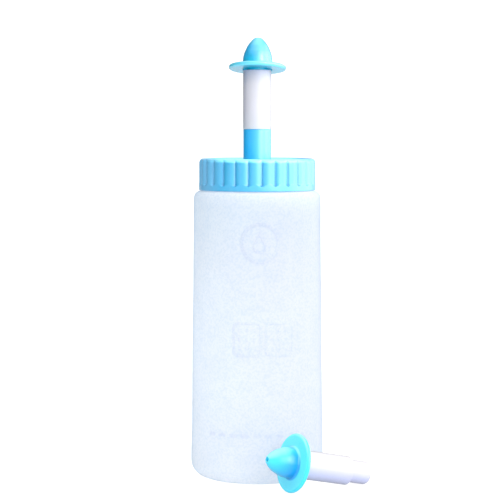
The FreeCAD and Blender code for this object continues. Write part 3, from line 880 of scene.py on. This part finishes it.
def frosted(name):
    """Blown low-density polyethylene: milky, faintly blue, lets light through,
    with a fine leathery grain."""
    mat = Mat(name)
    cloud = mat.span(mat.noise(scale=38, detail=3), across=(0.3, 0.7))
    base = mat.mix(cloud, BODY, BODY_LIGHT)
    # painted shade: surfaces turned to the right get a darker colour, toning down the strong light
    # from that side
    right_shade = mat.ease(mat.turned((1, 0, 0)), across=(-0.75, 0.5))
    base = mat.mix(right_shade, base, BODY_RIGHT_SHADE)
    # painted light: the colour is whiter towards the shoulder and the heel, lifting the shade
    # there
    z = mat.along((0, 0, 1))
    heel = mat.ease(z, across=(0.03, 0.002))
    shoulder = mat.ease(z, across=(0.12, 0.156), to=(0.0, 0.6))
    base = mat.mix(mat.times(mat.math("MAXIMUM", heel, shoulder), 0.6), base, BODY_DENSE_AND_LIT)
    # painted light: paler and bluer towards the top, except on the surfaces turned to the right
    upper = mat.ease(z, across=(0.115, 0.15), to=(0.0, 0.7))
    base = mat.mix(mat.times(upper, mat.math("SUBTRACT", 1.0, right_shade)), base, BODY_CORNER_LIGHT)
    # the raised marks: denser, so whiter, on top, and greyed round their edges by painted shade
    raised = mat.add("Attribute", attribute_name="relief").outputs["Fac"]
    mark_edge_shade = mat.times(mat.times(raised, mat.math("SUBTRACT", 1.0, raised)), 3.0)
    base = mat.mix(mat.times(raised, 0.6), base, BODY_DENSE_AND_LIT)
    base = mat.mix(mark_edge_shade, base, MARK_EDGE_SHADE)
    # leathery grain, about a millimetre across, over broader clouding
    speck = mat.span(mat.noise(scale=820, detail=3, rough=0.6), across=(0.44, 0.6))
    patch = mat.span(mat.noise(scale=120), across=(0.45, 0.65))
    grey = mat.math("ADD", mat.times(speck, 0.75), mat.times(patch, 0.25))
    base = mat.mix(grey, base, mat.vector("MULTIPLY", base, (0.90, 0.93, 0.96)))
    # painted shade: darker towards the outline
    base = mat.mix(mat.times(mat.outline(power=6.0), 0.65), base, BODY_OUTLINE_SHADE)
    grain = mat.noise(scale=1250, detail=3, rough=0.6)
    coarse = mat.noise(scale=320)
    roughness = mat.span(grain, across=(0.3, 0.7), to=(0.46, 0.6))
    normal = mat.bump(coarse, strength=0.35, distance=0.00012)
    normal = mat.bump(grain, strength=0.5, distance=0.0001, before=normal)
    mat.set_inputs(
        Base_Color=base, Roughness=roughness, Normal=normal, IOR=1.45, Specular_IOR_Level=0.35)
    mat.let_through(base, normal, share=0.85)
    return mat.material


def silicone(name, colour):
    mat = Mat(name)
    cloud = mat.span(mat.noise(scale=300, detail=3), across=(0.3, 0.7))
    base = mat.mix(cloud, colour, scaled(colour, 0.93))
    fine = mat.noise(scale=2200, detail=3)
    mat.set_inputs(
        Base_Color=base, Roughness=mat.span(fine, across=(0.3, 0.7), to=(0.42, 0.58)),
        Normal=mat.bump(fine, strength=0.25, distance=0.00005), Subsurface_Weight=0.5,
        Subsurface_Radius=(1.0, 0.9, 0.8), Subsurface_Scale=0.002)
    return mat.material


def natural(name):
    """Extruded natural polyethylene: milky, with faint lengthwise draw lines."""
    mat = Mat(name)
    draw = mat.noise(scale=900, detail=3, stretch=(1, 1, 0.01))
    draw = mat.span(draw, across=(0.35, 0.65))
    mat.set_inputs(
        Base_Color=mat.mix(draw, srgb(222, 232, 240), srgb(206, 220, 230)),
        Roughness=mat.span(draw, across=(0, 1), to=(0.28, 0.42)),
        Normal=mat.bump(draw, strength=0.3, distance=0.00006),
        Transmission_Weight=0.35, Subsurface_Weight=0.3, Subsurface_Scale=0.002)
    return mat.material


def cap_material():
    return moulded(
        "blue_cap", CAP, BLUE_LIGHT, scaled(CAP, 0.85), rough=0.36, grain=0.2, outline_shade=0.3,
        ior=1.55, specular=1.0, coat=0.15, tints=(
            # painted shade in the grooves
            (painted_shading_in_hollows, dict(reach=0.003, share=1.0, colour=CAP_GROOVE_SHADE)),
            # a painted highlight along the top edge
            (painted_shading_by_place, dict(
                direction=(0, 0, 1), across=(CAP_TOP - 2.3, CAP_TOP - 1.0), colour=CAP_RIM_HIGHLIGHT)),
            # painted light on the left side, painted shade on the right side
            (painted_shading_by_place, dict(direction=(1, 0, 0), across=(-15.0, -29.5), colour=CAP_LEFT_LIGHT)),
            (painted_shading_by_place, dict(direction=(1, 0, 0), across=(18.0, 30.0), colour=CAP_RIGHT_SHADE))))


def tip_material():
    axis = Vector((math.sin(LEAN_RIGHT), math.sin(LEAN_BACK), math.cos(LEAN_BACK)))
    return moulded(
        "blue_tip", TIP, BLUE_LIGHT, scaled(TIP, 0.85), rough=0.34, outline_shade=0.75, through=0.35,
        ior=1.7, specular=1.0, coat=0.9, tints=(
            # painted light in the hollows under the brim and round the dome's foot
            (painted_shading_in_hollows, dict(reach=0.006, share=1.0, colour=TIP_HOLLOW_LIGHT)),
            # painted light on the brim
            (painted_light_on_brim, dict(point=TIP_SEAT, axis=tuple(axis.normalized()), colour=TIP_BRIM_LIGHT)),
            # painted light on surfaces turned upwards
            (painted_shading_by_turn, dict(direction=(0, -0.25, 1), across=(0.6, 1.0), colour=TIP_UPPER_LIGHT))))


def spare_tip_material():
    root = SPARE_PLACE + SPARE_AXIS * (TIP_BASE + BRIM_THICK - SPARE_MIDDLE) * MM
    # the side of the dome that gets the most painted shade
    side = Vector((0.45, -0.35, -0.8)).normalized()
    return moulded(
        # the same plastic as the fitted tip, painted a paler cyan as painted light
        "blue_spare_tip", SPARE, scaled(SPARE, 1.05), scaled(SPARE, 0.9), rough=0.3, outline_shade=0.5,
        through=0.25, specular=0.8, coat=0.15, tints=(
            # painted shade round the dome's root
            (painted_shade_at_root, dict(
                root=tuple(root), axis=tuple(SPARE_AXIS), side=tuple(side), colour=SPARE_ROOT_SHADE)),
            # painted light on surfaces turned up and to the left
            (painted_shading_by_turn, dict(
                direction=(-0.5, -0.2, 0.85), across=(0.5, 1.0), colour=SPARE_UPPER_LIGHT))))


def tube_material():
    return moulded(
        "white_tube", TUBE, scaled(TUBE, 1.04), scaled(TUBE, 0.94), rough=0.3, outline_shade=1.0,
        through=0.35, tints=((painted_shading_in_hollows, dict(reach=0.010, share=0.9, colour=TUBE_SHADE)),))


def spare_tube_material():
    return moulded(
        # the tube's white, darkened as painted shade
        "white_spare_tube_shaded", scaled(TUBE, 0.77), scaled(TUBE, 0.81), scaled(TUBE, 0.73),
        rough=0.3, outline_shade=0.9, through=0.2, tints=(
            # painted shade on the underside
            (painted_shading_by_turn, dict(direction=(0, -0.3, -1), across=(-0.1, 0.75), colour=SPARE_UNDER_SHADE)),))


materials = {
    "bottle": frosted("frosted_bottle"),
    "cap": cap_material(),
    "socket": moulded("blue_socket", BLUE, BLUE_LIGHT, BLUE_DARK, rough=0.34, outline_shade=0.6,
                      ior=1.6, specular=1.0, coat=0.3),
    "nozzle_tip": tip_material(),
    "spare_tip": spare_tip_material(),
    "nozzle_tube": tube_material(),
    "spare_tube": spare_tube_material(),
    "valve_seat": moulded("white_seat", srgb(226, 228, 232), srgb(236, 238, 240),
                          srgb(212, 216, 222), rough=0.35, subsurface=0.1),
    "valve_ball": moulded("white_ball", srgb(230, 230, 234), srgb(240, 240, 244),
                          srgb(218, 220, 226), rough=0.15, subsurface=0.1),
    "gasket": silicone("silicone_gasket", srgb(218, 222, 224)),
    "air_valve": silicone("silicone_valve", srgb(214, 222, 228)),
    "dip_tube": natural("natural_dip_tube"),
}

# ------------------------------------------------------------------ build the object
# (builder, body it rides on, piece it replaces, slot)
PIECES = [
    (build_bottle, "bottle", "bottle", "bottle"),
    (build_cap, "cap", "screw_cap", "cap"),
    (build_gasket, "seal", "cap_gasket", "gasket"),
    (build_socket, "cap", "nozzle_socket", "socket"),
    (build_socket_stop, "cap", "nozzle_socket", "socket"),
    (build_seat, "cap", "valve_seat", "valve_seat"),
    (build_ball, "check_ball", "valve_ball", "valve_ball"),
    (build_dip_tube, "cap", "dip_tube", "dip_tube"),
    (build_air_valve, "cap", "air_valve", "air_valve"),
    (lambda: build_tube("nozzle_tube_body"), "nozzle", "nozzle_tube", "nozzle_tube"),
    (lambda: seated(build_tip("nozzle_tip_body")), "tip", "nozzle_tip", "nozzle_tip"),
    (lambda: lying(build_tube("spare_tube_body")),
     "spare_nozzle", "spare_nozzle_tube", "spare_tube"),
    (lambda: lying(build_tip("spare_tip_body")), "spare_tip", "spare_nozzle_tip", "spare_tip"),
]
for build, body, node, slot in PIECES:
    finish_mesh(build(), body, node, materials[slot])


# ------------------------------------------------------------------ floor (metres from here on)
def floor_material():
    mat = Mat("floor_white")
    soft = mat.span(mat.noise(scale=6), across=(0.3, 0.7))
    base = mat.mix(soft, (0.22, 0.22, 0.222), (0.25, 0.25, 0.252))
    roughness = mat.span(soft, across=(0, 1), to=(0.6, 0.7))
    normal = mat.bump(mat.noise(scale=300), strength=0.1, distance=0.0001)
    # full white to the eye, dimmer as a light on the object, so undersides keep some shade
    seen = mat.add("LightPath").outputs["Is Camera Ray"]
    mat.set_inputs(
        Base_Color=base, Roughness=roughness, Normal=normal, Emission_Color=(1, 1, 1, 1),
        Emission_Strength=mat.span(seen, across=(0, 1), to=(0.62, 0.86)),
        Specular_IOR_Level=0.1)
    return mat.material


def make_floor():
    """A sheet that lies flat and then sweeps up behind."""
    half_wide, front, bend, sweep, height = 0.9, -1.6, 1.2, 0.9, 3.0
    sink = 0.00002  # keeps the sheet just under the object
    path = [(front, 0.0), (bend, 0.0), *arc(bend, sweep, sweep, -90, 0, 17)[1:],
            (bend + sweep, height)]
    verts = [(x, y, z - sink) for y, z in path for x in (-half_wide, half_wide)]
    faces = [(i, i + 1, i + 3, i + 2) for i in range(0, len(verts) - 2, 2)]
    mesh = bpy.data.meshes.new("studio_floor")
    mesh.from_pydata(verts, [], faces)
    for polygon in mesh.polygons:
        polygon.use_smooth = True
    ob = link_object("studio_floor", mesh)
    mesh.materials.append(floor_material())


make_floor()


# ------------------------------------------------------------------ lights
def area(name, place, target, size, power, spread=180):
    light = bpy.data.lights.new(name, "AREA")
    light.shape = "RECTANGLE"
    light.size, light.size_y = size
    light.energy = power
    light.spread = math.radians(spread)
    ob = bpy.data.objects.new(name, light)
    ob.location = place
    ob.rotation_euler = (Vector(target) - Vector(place)).to_track_quat("-Z", "Y").to_euler()
    scene.collection.objects.link(ob)
    return ob


area("key_right", place=(0.55, -0.75, 0.5), target=(0, 0, 0.15), size=(0.25, 0.6), power=2.0)
low_left = area("low_left", place=(-0.46, -0.42, 0.07), target=(0.0, -0.03, 0.02),
                size=(0.3, 0.16), power=0.1, spread=36)
low_left.visible_glossy = False


def lobe(room, direction, across, strength):
    """A soft patch of light round a direction; across is in cosines of the angle from it."""
    place = room.coord.outputs["Generated"]
    cosine = room.vector("DOT_PRODUCT", place, Vector(direction).normalized())
    return room.ease(cosine, across, to=(0.0, strength))


def seen_in_gloss(room, value, gain):
    """A light or a dark card that reflections see at another strength than the rest does."""
    glossy = room.add("LightPath").outputs["Is Glossy Ray"]
    return room.times(value, room.math("MULTIPLY_ADD", glossy, gain - 1.0, 1.0))


def make_world():
    """The room: dim at the left, a very wide soft light at the right of the camera,
    weaker ones at the side, in front and overhead."""
    world = bpy.data.worlds.new("studio")
    scene.world = world
    world.use_nodes = True
    world.node_tree.nodes.clear()
    room = Nodes(world.node_tree)
    azimuth, height, side = math.radians(52), math.radians(14), math.radians(108)
    key = (math.sin(azimuth) * math.cos(height), -math.cos(azimuth) * math.cos(height),
           math.sin(height))
    right = seen_in_gloss(room, lobe(room, key, across=(0.6, 0.93), strength=2.0), gain=1.6)
    beside = lobe(
        room, (math.sin(side), -math.cos(side), 0.2), across=(0.76, 0.95), strength=2.4)
    front = lobe(room, (0.1, -1.0, 0.25), across=(0.7, 0.97), strength=0.5)
    dark = lobe(room, (-0.85, 0.1, 0.1), across=(-0.1, 0.75), strength=-0.17)
    dark = seen_in_gloss(room, dark, gain=2.3)
    above = lobe(room, (0, -0.1, 1.0), across=(0.45, 0.95), strength=2.1)
    above = seen_in_gloss(room, above, gain=0.35)
    ambient = 0.4
    lights = room.math(
        "ADD", room.math("ADD", right, above), room.math("ADD", front, beside))
    total = room.math("ADD", lights, room.math("ADD", ambient, dark))
    # seen straight, past the floor's edge, the room is plain and pale
    seen = room.add("LightPath").outputs["Is Camera Ray"]
    strength = room.mix(seen, total, 1.0, kind="Float")
    background = room.add("Background", {"Color": (1, 1, 1, 1), "Strength": strength})
    room.add("OutputWorld", {"Surface": background.outputs[0]})


make_world()


# ------------------------------------------------------------------ camera and render
camera = bpy.data.cameras.new("camera")
camera.sensor_width = 36.0
camera.lens = 123.192
camera.clip_start, camera.clip_end = 0.05, 50
camera_ob = link_object("camera", camera)
camera_ob.location = (0, -0.9328, 0.1912)
camera_ob.rotation_euler = (math.radians(90 - 4.15), 0, math.radians(0.54))
scene.camera = camera_ob

scene.view_settings.view_transform = "Standard"
scene.view_settings.look = "None"
scene.view_settings.exposure = 0.0
scene.cycles.use_denoising = True
scene.cycles.max_bounces = 16
scene.cycles.transmission_bounces = 12
scene.cycles.transparent_max_bounces = 8
